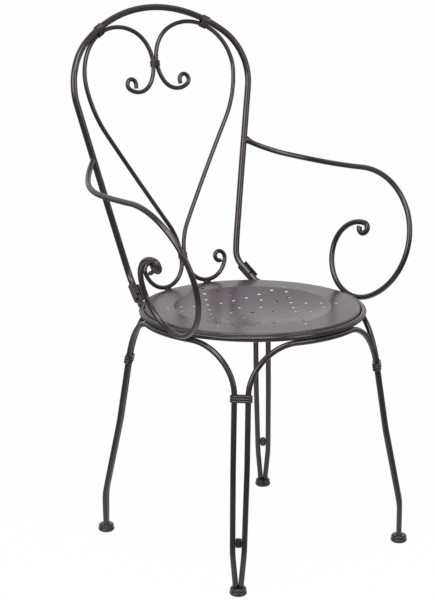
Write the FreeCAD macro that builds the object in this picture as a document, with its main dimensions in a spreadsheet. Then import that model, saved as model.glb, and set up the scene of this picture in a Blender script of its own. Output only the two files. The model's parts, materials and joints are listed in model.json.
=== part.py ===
import FreeCAD, Part
import math
import os
import Sketcher

# Garden armchair with a round pressed seat and a frame of bent steel rod.
# Millimetres and degrees. +Z is up, -Y is the front, left is -X.
# The origin lies on the floor, under the middle of the seat.

V = FreeCAD.Vector
UP = V(0, 0, 1)
ORIGIN = V(0, 0, 0)

# Driving dimensions, each with its own name and a word on what it measures.
DIMENSIONS = [
    # Stock
    ("frame_rod", 10.0, "rod of the seat ring, the leg arches and the arms"),
    ("heart_rod", 8.0, "rod of the two heart scrolls"),
    ("hoop_tube", 12.0, "tube of the back hoop and its stubs"),
    ("tube_wall", 1.5, "wall of the tube"),
    ("contact_gap", 0.3, "gap between round faces that touch"),
    # Seat
    ("ring_radius", 200.0, "seat ring, to the middle of its rod"),
    ("ring_level", 436.0, "height of the seat ring's centre"),
    ("pan_rise", 7.6, "seat's flat rim above the ring's centre"),
    ("pan_sheet", 1.0, "thickness of the pressed sheet"),
    ("pan_bend", 3.5, "outside radius where the rim turns down"),
    ("pan_skirt", 10.0, "depth of the rim's turned down edge"),
    ("dish_rim", 52.7, "width of the flat rim round the dish"),
    ("dish_depth", 13.5, "depth of the dish below the rim"),
    # Star of holes in the seat
    ("hole_bore", 7.0, "diameter of each hole"),
    ("hole_pitch", 29.5, "spacing of the holes along each line of the star"),
    ("rosette_radius", 39.0, "circle of six holes round the middle one"),
    # Leg arches; each distance out is from the seat ring's circle
    ("arch_bend", 84.0, "bend radius from the ring down to the leg"),
    ("collar_out", 25.1, "leg's distance out at its collar"),
    ("collar_half", 12.0, "half the spacing of a leg's two rods, collar to knee"),
    ("knee_out", 44.0, "leg's distance out at the knee"),
    ("knee_level", 218.0, "height of the knee"),
    ("knee_bend", 300.0, "bend radius of the knee"),
    ("ankle_level", 75.0, "height of the ankle"),
    ("ankle_bend", 110.0, "bend radius of the ankle"),
    ("foot_out", 73.2, "leg's distance out at the foot"),
    ("foot_bend_level", 21.0, "height where the two rods run together"),
    ("foot_bend", 60.0, "bend radius there"),
    ("spacer_level", 93.0, "height of the spacer between the two rods"),
    ("spacer_rod", 10.0, "diameter of the spacer"),
    ("spacer_length", 16.0, "length of the spacer"),
    ("spacer_round", 1.2, "rounding of the spacer's ends"),
    # Feet
    ("foot_width", 30.5, "diameter of the foot's lower tier"),
    ("foot_cap", 28.6, "diameter of the foot's upper tier"),
    ("foot_waist", 26.6, "diameter of the groove between the tiers"),
    ("foot_sole", 24.0, "diameter of the flat sole"),
    ("foot_crown", 22.5, "diameter of the flat top"),
    ("foot_waist_level", 8.0, "height of the groove"),
    ("foot_lower_round", 5.0, "radius of the lower tier's rounded edge"),
    ("foot_upper_round", 4.0, "radius of the upper tier's rounded edge"),
    ("foot_height", 14.0, "height of the foot"),
    ("foot_recess", 6.0, "depth of the recess that takes the two rods"),
    # Bands of half round wire
    ("leg_wire", 2.6, "thickness of the wire of the leg collars"),
    ("leg_pitch", 4.3, "spacing of its turns"),
    ("leg_band_level", 337.5, "height of the leg collars"),
    ("tie_wire", 1.3, "thickness of the wire of the heart ties"),
    ("tie_pitch", 3.7, "spacing of its turns"),
    ("lower_tie_rise", 6.5, "lower tie's height above the foot of the stem"),
    ("upper_tie_drop", 3.5, "upper tie's distance below the heart's notch"),
    ("hoop_wire", 1.3, "thickness of the wire of the hoop collars"),
    ("hoop_pitch", 3.8, "spacing of its turns"),
    ("hoop_collar_rise", 9.0, "collar's distance up the hoop from where it touches"),
    ("band_lap", 0.1, "lap of one turn over the next"),
    # Back: both shapes lie on surfaces that lean back and are hollow in plan
    ("back_datum", 450.0, "height that the back's slope lengths start from"),
    ("hoop_behind", 2.2, "hoop's distance behind the ring's circle at the datum"),
    ("hoop_hollow", 2315.0, "double radius of its curve in plan"),
    ("hoop_crown", 267.9, "bend radius over the top"),
    ("hoop_shoulder", 107.1, "bend radius of the shoulders"),
    ("hoop_side", 283.0, "straight side below the shoulder"),
    ("heart_ahead", 8.1, "heart's distance ahead of the ring's circle at the datum"),
    ("heart_hollow", 1970.0, "double radius of its curve in plan"),
    ("scroll_bend", 46.0, "bend radius of the foot scroll"),
    ("scroll_curl", 12.0, "bend radius of its curled end"),
    ("scroll_tip", 9.0, "bend radius of its tip"),
    ("stem_run", 7.0, "straight stem above the foot scroll"),
    ("stem_bend", 112.0, "bend radius at the top of the stem"),
    ("flank_bend", 210.7, "bend radius up the heart's flank"),
    ("lobe_bend", 90.5, "bend radius over the heart's lobe"),
    ("dip_bend", 67.5, "bend radius down through the heart's notch"),
    ("curl_bend", 36.7, "bend radius of the inner curl"),
    ("curl_tip", 10.1, "bend radius of the inner curl's end"),
    ("curl_end", 6.9, "straight end of the inner curl"),
    # Joint of the hoop with the seat
    ("stub_outset", 3.3, "stub's distance out from the ring's circle, at its height"),
    ("plug_rise", 29.8, "height of the hoop's end bend above the ring"),
    ("plug_run", 25.0, "straight end of the hoop in its socket"),
    ("plug_gap", 2.5, "gap between the hoop's end and the stub"),
    ("socket_length", 34.5, "length of the channel"),
    ("socket_start", 1.0, "channel's start along the hoop's straight end"),
    ("socket_wall", 3.4, "thickness of the channel"),
    ("socket_lip", 5.0, "channel's sides beyond the tube's centre"),
    # Arms: each lies in a leaning plane ahead of its lead from the hoop
    ("arm_level", 697.0, "height where the arm leaves the hoop"),
    ("arm_outset", 68.8, "arm rest's distance outside the ring's circle"),
    ("arm_rest_level", 662.5, "height of the arm rest"),
    ("arm_start_back", 90.1, "arm rest's start, behind the chair's middle"),
    ("arm_rest_bend", 1720.0, "bend radius along the arm rest"),
    ("arm_drop_bend", 144.0, "bend radius where the arm turns down"),
    ("arm_front", 114.9, "bend radius at the front of the arm"),
    ("arm_under", 77.7, "bend radius under the arm"),
    ("arm_inner", 58.0, "bend radius inside the arm's scroll"),
    ("arm_curl", 9.7, "bend radius of the arm's curled end"),
]

# Angles in degrees.
ANGLES = [
    ("star_turn", -3.0, "turn of the star of holes about the chair's axis"),
    ("hoop_lean", 11.09, "lean of the hoop's surface"),
    ("hoop_crown_turn", 36.48, "turn of each half of the top"),
    ("hoop_shoulder_turn", 66.42, "turn of each shoulder"),
    ("heart_lean", 12.95, "lean of the heart's surface"),
    ("scroll_turn", 166.0, "turn of the foot scroll"),
    ("scroll_curl_turn", 110.0, "turn of its curled end"),
    ("scroll_tip_turn", 190.0, "turn of its tip"),
    ("stem_turn", 32.6, "turn at the top of the stem"),
    ("flank_turn", 25.7, "turn up the heart's flank"),
    ("lobe_turn", 123.6, "turn over the heart's lobe"),
    ("dip_turn", 95.5, "turn down through the heart's notch"),
    ("curl_turn", 94.2, "turn of the inner curl"),
    ("curl_tip_turn", 238.8, "turn of the inner curl's end"),
    ("stub_bearing", 42.8, "place of the stub round the ring, from straight behind"),
    ("plug_dip", 38.0, "slope of the hoop's ends below the horizontal"),
    ("plug_splay", 13.0, "turn of the hoop's ends outwards in plan"),
    ("arm_splay", 4.3, "turn of the arm's plane, outwards to the front"),
    ("arm_leave_out", 53.2, "arm's direction at the hoop, turned out from forwards"),
    ("arm_leave_dip", 26.1, "arm's slope at the hoop, downwards"),
    ("arm_rest_turn", 2.9, "turn along the arm rest"),
    ("arm_drop_turn", 56.1, "turn where the arm turns down"),
    ("arm_front_turn", 102.4, "turn at the front of the arm"),
    ("arm_under_turn", 120.0, "turn under the arm"),
    ("arm_inner_turn", 91.2, "turn inside the arm's scroll"),
    ("arm_curl_turn", 274.4, "turn of the arm's curled end"),
]

# Places round the seat, in degrees from +X
LEG_ANGLES = {"front": 225, "right": 315, "back": 45, "left": 135}
ARCH_ANGLES = {"front": 270, "right": 0, "back": 90, "left": 180}

# Turns of wire in each band
LEG_BAND_TURNS = 3
TIE_TURNS = 3
HOOP_BAND_TURNS = 4

# The star of holes, counted in hole pitches along a line and between lines
STAR_POINTS = 6
STAR_LINE_HOLES = (0, 1, 2, 3, 4, 5, 7, 8)
STAR_LINE_MIDDLE = 4.5
STAR_LINE_ROWS = 1.5 * math.sqrt(3)

# Steps of the construction: longest pieces of a path, and searches
LONGEST_TURN = 45.0
LONGEST_RUN = 110.0
CROWN_STEP = 0.25
HALVINGS = 24
MOST_FLARE = 20.0

doc = FreeCAD.newDocument("garden_armchair")
sheet = doc.addObject("Spreadsheet::Sheet", "sizes")
for row, (alias, value, note) in enumerate(DIMENSIONS + ANGLES, 1):
    sheet.set("A%d" % row, alias)
    sheet.set("B%d" % row, str(value))
    sheet.setAlias("B%d" % row, alias)
    sheet.set("C%d" % row, note)
doc.recompute()
nodes = []


def size(alias):
    """A driving dimension as a plain number."""
    return float(sheet.get(alias))


def unit(vector):
    return V(vector).normalize()


# Bent rods


def tangent_arc(start, heading, end):
    """The edge that leaves start along heading and runs to end as one arc."""
    chord = end - start
    length = chord.Length
    along = chord * (1 / length)
    aside = heading - along * heading.dot(along)
    if aside.Length < 1e-7:
        return Part.LineSegment(start, end).toShape()
    angle = math.acos(max(-1.0, min(1.0, heading.dot(along))))
    rise = length / 2 * math.tan(angle / 2)
    middle = (start + end) * 0.5 + unit(aside) * rise
    return Part.Arc(start, middle, end).toShape()


def arc_pair(start, end):
    """Two tangent arcs between two stations, each a point and a heading."""
    (p0, t0), (p1, t1) = start, end
    chord = p1 - p0
    along = unit(chord)
    if t0.dot(along) > 1 - 1e-10 and t1.dot(along) > 1 - 1e-10:
        return [Part.LineSegment(p0, p1).toShape()]
    square = 2 * (t0.dot(t1) - 1)
    linear = -2 * chord.dot(t0 + t1)
    constant = chord.dot(chord)
    if abs(square) < 1e-9:
        reach = -constant / linear
    else:
        root = math.sqrt(linear * linear - 4 * square * constant)
        reach = (-linear - root) / (2 * square)
    q0 = p0 + t0 * reach
    q1 = p1 - t1 * reach
    join = (q0 + q1) * 0.5
    return [tangent_arc(p0, t0, join), tangent_arc(join, unit(q1 - q0), p1)]


def path(stations):
    """One smooth wire through the stations."""
    edges = []
    for start, end in zip(stations, stations[1:]):
        edges += arc_pair(start, end)
    return Part.Wire(edges)


def bar(stations, diameter):
    """A round bar along the stations."""
    start, heading = stations[0]
    circle = Part.Circle(start, heading, diameter / 2).toShape()
    section = Part.Face(Part.Wire([circle]))
    return path(stations).makePipe(section)


def walk(start, heading, moves):
    """Corners of a flat path of runs and turns: place and heading of each.

    A move is (run, 0) or (bend radius, turn), with left turns positive.
    """
    x, y = start
    stops = [(x, y, heading)]
    for length, turn in moves:
        if turn == 0:
            steps = max(1, math.ceil(length / LONGEST_RUN))
            for _ in range(steps):
                x += length / steps * math.cos(heading)
                y += length / steps * math.sin(heading)
                stops.append((x, y, heading))
            continue
        steps = math.ceil(abs(turn) / LONGEST_TURN)
        step = math.radians(turn) / steps
        radius = math.copysign(length, turn)
        for _ in range(steps):
            x += radius * (math.sin(heading + step) - math.sin(heading))
            y -= radius * (math.cos(heading + step) - math.cos(heading))
            heading += step
            stops.append((x, y, heading))
    return stops


def settle(low, high, too_near):
    """Halve the range until a piece just clears its neighbour."""
    for _ in range(HALVINGS):
        middle = (low + high) / 2
        if too_near(middle):
            low = middle
        else:
            high = middle
    return high


def rounded(corners, bends):
    """Stations along a bent line whose inner corners have bend radii."""
    start = unit(corners[1] - corners[0])
    stations = [(corners[0], start)]
    for before, corner, after, bend in zip(corners, corners[1:], corners[2:], bends):
        come = unit(corner - before)
        leave = unit(after - corner)
        turn = math.acos(max(-1.0, min(1.0, come.dot(leave))))
        reach = bend * math.tan(turn / 2)
        stations.append((corner - come * reach, come))
        stations.append((corner + leave * reach, leave))
    stations.append((corners[-1], unit(corners[-1] - corners[-2])))
    return stations


def mirrored(stations):
    """The same path on the other side of the chair, walked the other way."""
    return [(V(-p.x, p.y, p.z), V(t.x, -t.y, -t.z)) for p, t in reversed(stations)]


def add_part(label, shape, placement=None):
    """Keep a shape as one named piece of the chair."""
    feature = doc.addObject("Part::Feature", label)
    feature.Label = label
    feature.Shape = shape
    if placement is not None:
        feature.Placement = placement
    nodes.append(feature)
    return feature


def other_side(shape):
    return shape.mirror(ORIGIN, V(1, 0, 0))


# Sketches whose corners and arcs follow the sheet


def new_body(label):
    body = doc.addObject("PartDesign::Body", label)
    body.Label = label
    nodes.append(body)
    return body


def new_sketch(body, name, role):
    sketch = body.newObject("Sketcher::SketchObject", name)
    planes = [p for p in body.Origin.OriginFeatures if p.Role == role]
    sketch.AttachmentSupport = (planes[0], [""])
    sketch.MapMode = "FlatFace"
    return sketch


def tie(sketch, constraint, text):
    """Add a constraint and let the sheet drive it."""
    index = sketch.addConstraint(constraint)
    sketch.setExpression("Constraints[%d]" % index, text)


def flat_arc(first, near, last):
    """The arc that turns left from first past near to last."""
    round_them = Part.Circle(first, near, last)
    centre = round_them.Center
    begin = math.atan2(first.y - centre.y, first.x - centre.x)
    finish = math.atan2(last.y - centre.y, last.x - centre.x)
    if finish < begin:
        finish += 2 * math.pi
    circle = Part.Circle(centre, V(0, 0, 1), round_them.Radius)
    return Part.ArcOfCircle(circle, begin, finish)


def draw_outline(sketch, corners, arcs):
    """A closed outline of lines and arcs.

    A corner is (x, y, x formula, y formula); a formula of None leaves that
    coordinate on the axis. arcs gives, for the edge that starts at a corner,
    a point that the arc passes near, and the formula of its radius or, for a
    half circle, of its middle's y.
    """
    count = len(corners)
    starts = [1] * count
    ends = [2] * count
    for index in range(count):
        here = V(corners[index][0], corners[index][1], 0)
        there_corner = corners[(index + 1) % count]
        there = V(there_corner[0], there_corner[1], 0)
        if index not in arcs:
            sketch.addGeometry(Part.LineSegment(here, there), False)
            continue
        near = V(arcs[index][0][0], arcs[index][0][1], 0)
        if (near - here).cross(there - near).z < 0:
            here, there = there, here
            starts[index], ends[index] = 2, 1
        sketch.addGeometry(flat_arc(here, near, there), False)
    for index in range(count):
        after = (index + 1) % count
        sketch.addConstraint(
            Sketcher.Constraint("Coincident", index, ends[index], after, starts[after])
        )
    for index, (x, y, x_text, y_text) in enumerate(corners):
        place = (index, starts[index])
        if x_text is None:
            sketch.addConstraint(Sketcher.Constraint("PointOnObject", *place, -2))
        else:
            tie(sketch, Sketcher.Constraint("DistanceX", -1, 1, *place, x), x_text)
        if y_text is None:
            sketch.addConstraint(Sketcher.Constraint("PointOnObject", *place, -1))
        else:
            tie(sketch, Sketcher.Constraint("DistanceY", -1, 1, *place, y), y_text)
    for index, (_, kind, text) in arcs.items():
        arc = sketch.Geometry[index]
        if kind == "radius":
            tie(sketch, Sketcher.Constraint("Radius", index, arc.Radius), text)
        elif text is None:
            sketch.addConstraint(Sketcher.Constraint("PointOnObject", index, 3, -1))
        else:
            place = (-1, 1, index, 3, arc.Center.y)
            tie(sketch, Sketcher.Constraint("DistanceY", *place), text)


def draw_hole(sketch, x, y, x_text, y_text, radius, radius_text):
    """A circle whose centre and radius follow the sheet."""
    index = sketch.addGeometry(Part.Circle(V(x, y, 0), V(0, 0, 1), radius), False)
    if x_text is None:
        sketch.addConstraint(Sketcher.Constraint("Coincident", index, 3, -1, 1))
    else:
        tie(sketch, Sketcher.Constraint("DistanceX", -1, 1, index, 3, x), x_text)
        tie(sketch, Sketcher.Constraint("DistanceY", -1, 1, index, 3, y), y_text)
    tie(sketch, Sketcher.Constraint("Radius", index, radius), radius_text)


def cut_through(body, name, sketch):
    """Pocket upwards through all, with a check that it takes metal away."""
    doc.recompute()
    before = body.Shape.Volume
    pocket = body.newObject("PartDesign::Pocket", name)
    pocket.Profile = sketch
    pocket.Type = "ThroughAll"
    pocket.Reversed = True
    doc.recompute()
    if not body.Shape.Volume < before:
        raise ValueError(name + " cuts nothing")
    return pocket


# Seat: a dished pan of pressed sheet inside the ring


def pan_top():
    """Height of the seat's flat rim."""
    return size("ring_level") + size("pan_rise")


def make_seat_pan():
    body = new_body("seat_pan")
    sheet_t = size("pan_sheet")
    top = pan_top()
    edge = size("ring_radius") - size("frame_rod") / 2 - size("contact_gap")
    bend = size("pan_bend")
    low = top - size("pan_skirt")
    dish = edge - size("dish_rim")
    depth = size("dish_depth")
    ball = (dish**2 + depth**2) / (2 * depth)
    under = math.sqrt((ball + sheet_t) ** 2 - (ball - depth + sheet_t) ** 2)

    edge_text = "(sizes.ring_radius - sizes.frame_rod / 2 - sizes.contact_gap)"
    dish_text = "(" + edge_text + " - sizes.dish_rim)"
    top_text = "(sizes.ring_level + sizes.pan_rise)"
    in_top = top_text + " - sizes.pan_sheet"
    shoulder_text = top_text + " - sizes.pan_bend"
    low_text = top_text + " - sizes.pan_skirt"
    ball_text = "(" + dish_text + "^2 + sizes.dish_depth^2) / (2 * sizes.dish_depth)"
    under_text = (
        "sqrt((" + ball_text + " + sizes.pan_sheet)^2"
        " - (" + ball_text + " - sizes.dish_depth + sizes.pan_sheet)^2)"
    )
    corners = [
        (0, top - depth, None, top_text + " - sizes.dish_depth"),
        (dish, top, dish_text, top_text),
        (edge - bend, top, edge_text + " - sizes.pan_bend", top_text),
        (edge, top - bend, edge_text, shoulder_text),
        (edge, low, edge_text, low_text),
        (edge - sheet_t, low, edge_text + " - sizes.pan_sheet", low_text),
        (edge - sheet_t, top - bend, edge_text + " - sizes.pan_sheet", shoulder_text),
        (edge - bend, top - sheet_t, edge_text + " - sizes.pan_bend", in_top),
        (under, top - sheet_t, under_text, in_top),
        (0, top - depth - sheet_t, None, in_top + " - sizes.dish_depth"),
    ]

    def on_ball(radius, centre, x):
        return (x, centre - math.sqrt(radius**2 - x**2))

    centre = top - depth + ball
    diagonal = math.sqrt(0.5)
    inner = bend - sheet_t
    arcs = {
        0: (on_ball(ball, centre, dish / 2), "radius", ball_text),
        2: (
            (edge - bend + bend * diagonal, top - bend + bend * diagonal),
            "radius",
            "sizes.pan_bend",
        ),
        6: (
            (edge - bend + inner * diagonal, top - bend + inner * diagonal),
            "radius",
            "sizes.pan_bend - sizes.pan_sheet",
        ),
        8: (
            on_ball(ball + sheet_t, centre, dish / 2),
            "radius",
            ball_text + " + sizes.pan_sheet",
        ),
    }
    profile = new_sketch(body, "pan_profile", "XZ_Plane")
    draw_outline(profile, corners, arcs)
    turned = body.newObject("PartDesign::Revolution", "pan_turned")
    turned.Profile = profile
    turned.ReferenceAxis = (profile, ["V_Axis"])
    turned.Angle = 360

    # One sixth of the star: a line of holes and one hole of the rosette
    holes = new_sketch(body, "star_holes", "XY_Plane")
    pitch = size("hole_pitch")
    radius = size("hole_bore") / 2
    for number in STAR_LINE_HOLES:
        shift = number - STAR_LINE_MIDDLE
        draw_hole(
            holes,
            shift * pitch,
            STAR_LINE_ROWS * pitch,
            "%r * sizes.hole_pitch" % shift,
            "%r * sizes.hole_pitch" % STAR_LINE_ROWS,
            radius,
            "sizes.hole_bore / 2",
        )
    tip = math.radians(180 / STAR_POINTS)
    draw_hole(
        holes,
        size("rosette_radius") * math.cos(tip),
        size("rosette_radius") * math.sin(tip),
        "sizes.rosette_radius * cos(%r deg)" % (180 / STAR_POINTS),
        "sizes.rosette_radius * sin(%r deg)" % (180 / STAR_POINTS),
        radius,
        "sizes.hole_bore / 2",
    )
    sector = cut_through(body, "star_sector", holes)
    star = body.newObject("PartDesign::PolarPattern", "star")
    star.Originals = [sector]
    star.Axis = (holes, ["N_Axis"])
    star.Angle = 360
    star.Occurrences = STAR_POINTS
    body.Tip = star
    middle = new_sketch(body, "middle_hole", "XY_Plane")
    draw_hole(middle, 0, 0, None, None, radius, "sizes.hole_bore / 2")
    cut_through(body, "middle_cut", middle)
    turn = FreeCAD.Rotation(UP, size("star_turn"))
    body.Placement = FreeCAD.Placement(ORIGIN, turn)


def make_seat_ring():
    ring = doc.addObject("Part::Torus", "seat_ring")
    ring.Label = "seat_ring"
    ring.setExpression("Radius1", "sizes.ring_radius")
    ring.setExpression("Radius2", "sizes.frame_rod / 2")
    ring.setExpression("Placement.Base.z", "sizes.ring_level")
    nodes.append(ring)


# Legs: four arches, each running from one foot under the ring to the next


def leg_point(reach, aside, level):
    """A point of a leg that stands towards +X and +Y, on its near side."""
    out = V(math.sqrt(0.5), math.sqrt(0.5), 0)
    along = V(-math.sqrt(0.5), math.sqrt(0.5), 0)
    return out * reach - along * aside + UP * level


def reach(place):
    """A leg's distance from the chair's axis at its collar, knee or foot."""
    return size("ring_radius") + size(place + "_out")


def arch_level():
    """The arches run under the ring and touch it."""
    return size("ring_level") - size("frame_rod") - size("contact_gap")


def rod_half_gap():
    """Half the spacing of the two rods where they touch in the foot."""
    return (size("frame_rod") + size("contact_gap")) / 2


def foot_floor():
    return size("foot_height") - size("foot_recess")


def shin(level):
    """The leg's distance from the axis between the knee and the ankle."""
    share = (size("knee_level") - level) / (size("knee_level") - size("ankle_level"))
    return reach("knee") + share * (reach("foot") - reach("knee"))


def ankle_half():
    """The rods close in so that they hold the spacer where it sits."""
    held = (size("frame_rod") + size("spacer_rod")) / 2 + size("contact_gap")
    drop = size("knee_level") - size("spacer_level")
    share = drop / (size("knee_level") - size("ankle_level"))
    return size("collar_half") + (held - size("collar_half")) / share


def leg_corners():
    bend_end = arch_level() - size("arch_bend")
    return [
        leg_point(reach("collar"), size("collar_half"), bend_end),
        leg_point(reach("knee"), size("collar_half"), size("knee_level")),
        leg_point(reach("foot"), ankle_half(), size("ankle_level")),
        leg_point(reach("foot"), rod_half_gap(), size("foot_bend_level")),
        leg_point(reach("foot"), rod_half_gap(), foot_floor()),
    ]


def half_arch():
    """Stations from the middle of an arch at +X, down its +Y end."""
    ring = size("ring_radius")
    bend = size("arch_bend")
    top = arch_level()
    width = math.hypot(reach("collar"), size("collar_half"))
    offset = math.atan2(size("collar_half"), reach("collar"))
    end_angle = math.radians(45) - offset
    run_angle = end_angle - bend / ring
    corners = leg_corners()
    thigh = corners[1] - corners[0]
    slope = (reach("knee") - reach("collar")) / -thigh.z
    swell = (width - slope * bend - ring) / bend**2
    stations = [
        (V(ring, 0, top), V(0, 1, 0)),
        (
            V(ring * math.cos(run_angle), ring * math.sin(run_angle), top),
            V(-math.sin(run_angle), math.cos(run_angle), 0),
        ),
    ]
    # Down the bend the rod also moves out, from the ring's radius to the leg's
    for tilt in (22.5, 45.0, 67.5):
        phi = math.radians(tilt)
        drop = bend * math.cos(phi)
        angle = run_angle + bend * math.sin(phi) / ring
        radius = width - slope * drop - swell * drop**2
        out = V(math.cos(angle), math.sin(angle), 0)
        along = V(-math.sin(angle), math.cos(angle), 0)
        growth = (slope + 2 * swell * drop) * bend * math.sin(phi)
        advance = radius * bend * math.cos(phi) / ring
        heading = out * growth + along * advance - UP * bend * math.sin(phi)
        point = out * radius + UP * (top - bend + drop)
        stations.append((point, unit(heading)))
    bends = (size("knee_bend"), size("ankle_bend"), size("foot_bend"))
    return stations + rounded(corners, bends)


def make_leg_arches():
    half = half_arch()
    near = [(V(p.x, -p.y, p.z), V(-t.x, t.y, -t.z)) for p, t in reversed(half)]
    arch = bar(near + half[1:], size("frame_rod"))
    for side, angle in ARCH_ANGLES.items():
        turned = FreeCAD.Placement(ORIGIN, FreeCAD.Rotation(UP, angle))
        add_part("leg_arch_" + side, arch, turned)


def make_spacers():
    """Short lengths of rod between the two rods of each leg."""
    drop = size("knee_level") - size("ankle_level")
    tilt = math.degrees(math.atan((reach("foot") - reach("knee")) / drop))
    for side, angle in LEG_ANGLES.items():
        plain = doc.addObject("Part::Cylinder", "spacer_rod_" + side)
        plain.setExpression("Radius", "sizes.spacer_rod / 2")
        plain.setExpression("Height", "sizes.spacer_length")
        doc.recompute()
        spacer = doc.addObject("Part::Fillet", "leg_spacer_" + side)
        spacer.Label = "leg_spacer_" + side
        spacer.Base = plain
        rounding = size("spacer_round")
        ends = [
            number
            for number, edge in enumerate(plain.Shape.Edges, 1)
            if edge.Closed and isinstance(edge.Curve, Part.Circle)
        ]
        spacer.Edges = [(number, rounding, rounding) for number in ends]
        half = size("spacer_length") / 2
        upright = FreeCAD.Placement(V(0, 0, -half), FreeCAD.Rotation())
        lean = FreeCAD.Placement(ORIGIN, FreeCAD.Rotation(V(0, 1, 0), -tilt))
        level = size("spacer_level")
        seat = FreeCAD.Placement(V(shin(level), 0, level), FreeCAD.Rotation())
        turn = FreeCAD.Placement(ORIGIN, FreeCAD.Rotation(UP, angle))
        spacer.Placement = turn * seat * lean * upright
        nodes.append(spacer)


def make_feet():
    """Turned plastic feet of two tiers, with one recess for both rods."""
    middle = size("foot_waist_level")
    top = size("foot_height")
    sole = size("foot_sole") / 2
    wide = size("foot_width") / 2
    waist = size("foot_waist") / 2
    cap = size("foot_cap") / 2
    crown = size("foot_crown") / 2
    corners = [
        (0, 0, None, None),
        (sole, 0, "sizes.foot_sole / 2", None),
        (wide, middle / 2, "sizes.foot_width / 2", "sizes.foot_waist_level / 2"),
        (waist, middle, "sizes.foot_waist / 2", "sizes.foot_waist_level"),
        (
            cap,
            (middle + top) / 2,
            "sizes.foot_cap / 2",
            "(sizes.foot_waist_level + sizes.foot_height) / 2",
        ),
        (crown, top, "sizes.foot_crown / 2", "sizes.foot_height"),
        (0, top, None, "sizes.foot_height"),
    ]
    rounds = {
        1: "sizes.foot_lower_round",
        2: "sizes.foot_lower_round",
        3: "sizes.foot_upper_round",
        4: "sizes.foot_upper_round",
    }
    arcs = {}
    for index, text in rounds.items():
        (x0, y0), (x1, y1) = corners[index][:2], corners[index + 1][:2]
        lift = math.hypot(x1 - x0, y1 - y0) / 4
        bulge = unit(V(y1 - y0, x0 - x1, 0)) * lift
        near = ((x0 + x1) / 2 + bulge.x, (y0 + y1) / 2 + bulge.y)
        arcs[index] = (near, "radius", text)
    recess = size("frame_rod") / 2 + size("contact_gap")
    half = rod_half_gap()
    recess_text = "sizes.frame_rod / 2 + sizes.contact_gap"
    half_text = "(sizes.frame_rod + sizes.contact_gap) / 2"
    slot = [
        (recess, -half, recess_text, "-" + half_text),
        (recess, half, recess_text, half_text),
        (-recess, half, "-(" + recess_text + ")", half_text),
        (-recess, -half, "-(" + recess_text + ")", "-" + half_text),
    ]
    for side, angle in LEG_ANGLES.items():
        body = new_body("foot_" + side)
        profile = new_sketch(body, "foot_profile_" + side, "XZ_Plane")
        draw_outline(profile, corners, arcs)
        turned = body.newObject("PartDesign::Revolution", "foot_turned_" + side)
        turned.Profile = profile
        turned.ReferenceAxis = (profile, ["V_Axis"])
        turned.Angle = 360
        mouth = new_sketch(body, "foot_mouth_" + side, "XY_Plane")
        mouth.setExpression("AttachmentOffset.Base.z", "sizes.foot_height")
        ends = {
            1: ((0, half + recess), "middle", half_text),
            3: ((0, -half - recess), "middle", "-" + half_text),
        }
        draw_outline(mouth, slot, ends)
        doc.recompute()
        before = body.Shape.Volume
        pocket = body.newObject("PartDesign::Pocket", "foot_pocket_" + side)
        pocket.Profile = mouth
        pocket.setExpression("Length", "sizes.foot_recess")
        doc.recompute()
        if not body.Shape.Volume < before:
            raise ValueError("the recess of foot_" + side + " cuts nothing")
        turn = FreeCAD.Rotation(UP, angle)
        body.Placement = FreeCAD.Placement(
            turn.multVec(V(reach("foot"), 0, 0)), turn
        )


# Bands: turns of half round wire round two rods


def belt(radius_a, radius_b, spacing):
    """The loop round two circles, which lie along X with a gap between centres."""
    lean = math.asin((radius_a - radius_b) / spacing)
    up_a = V(radius_a * math.sin(lean), radius_a * math.cos(lean), 0)
    up_b = V(spacing + radius_b * math.sin(lean), radius_b * math.cos(lean), 0)
    down_a = V(up_a.x, -up_a.y, 0)
    down_b = V(up_b.x, -up_b.y, 0)
    edges = [
        Part.LineSegment(up_a, up_b).toShape(),
        Part.Arc(up_b, V(spacing + radius_b, 0, 0), down_b).toShape(),
        Part.LineSegment(down_b, down_a).toShape(),
        Part.Arc(down_a, V(-radius_a, 0, 0), up_a).toShape(),
    ]
    return Part.Wire(edges), up_a, unit(up_b - up_a)


def band(kind, radius_a, radius_b, spacing, turns):
    """Turns of half round wire, lapped into one sleeve, about the origin."""
    wire, start, heading = belt(radius_a, radius_b, spacing)
    pitch = size(kind + "_pitch")
    half = pitch / 2 + size("band_lap")
    out = V(-heading.y, heading.x, 0)
    sleeve = None
    for turn in range(turns):
        level = (turn - (turns - 1) / 2) * pitch
        low = start + UP * (level - half)
        high = start + UP * (level + half)
        crest = start + UP * level + out * size(kind + "_wire")
        flat = Part.LineSegment(high, low).toShape()
        round_side = Part.Arc(low, crest, high).toShape()
        section = Part.Face(Part.Wire([flat, round_side]))
        route = wire.copy()
        route.translate(UP * level)
        loop = route.makePipe(section)
        sleeve = loop if sleeve is None else sleeve.fuse(loop)
    return sleeve.removeSplitter()


def set_band(label, sleeve, centre_a, toward, axis):
    """Move a band so that its first rod lies at centre_a, along axis."""
    across = unit(toward - axis * toward.dot(axis))
    side = axis.cross(across)
    turn = FreeCAD.Rotation(across, side, axis, "XYZ")
    return add_part(label, sleeve, FreeCAD.Placement(centre_a, turn))


def make_leg_collars():
    corners = leg_corners()
    thigh = unit(corners[0] - corners[1])
    level = size("leg_band_level")
    base = corners[1] + thigh * ((level - corners[1].z) / thigh.z)
    around = size("frame_rod") / 2 + size("contact_gap")
    sleeve = band("leg", around, around, 2 * size("collar_half"), LEG_BAND_TURNS)
    along = V(-math.sqrt(0.5), math.sqrt(0.5), 0)
    for side, angle in LEG_ANGLES.items():
        turn = FreeCAD.Rotation(UP, angle - 45)
        collar = set_band("leg_collar_" + side, sleeve, base, along, thigh)
        about = FreeCAD.Placement(ORIGIN, turn)
        collar.Placement = about * collar.Placement


# Back: the hoop and the two heart scrolls


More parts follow.
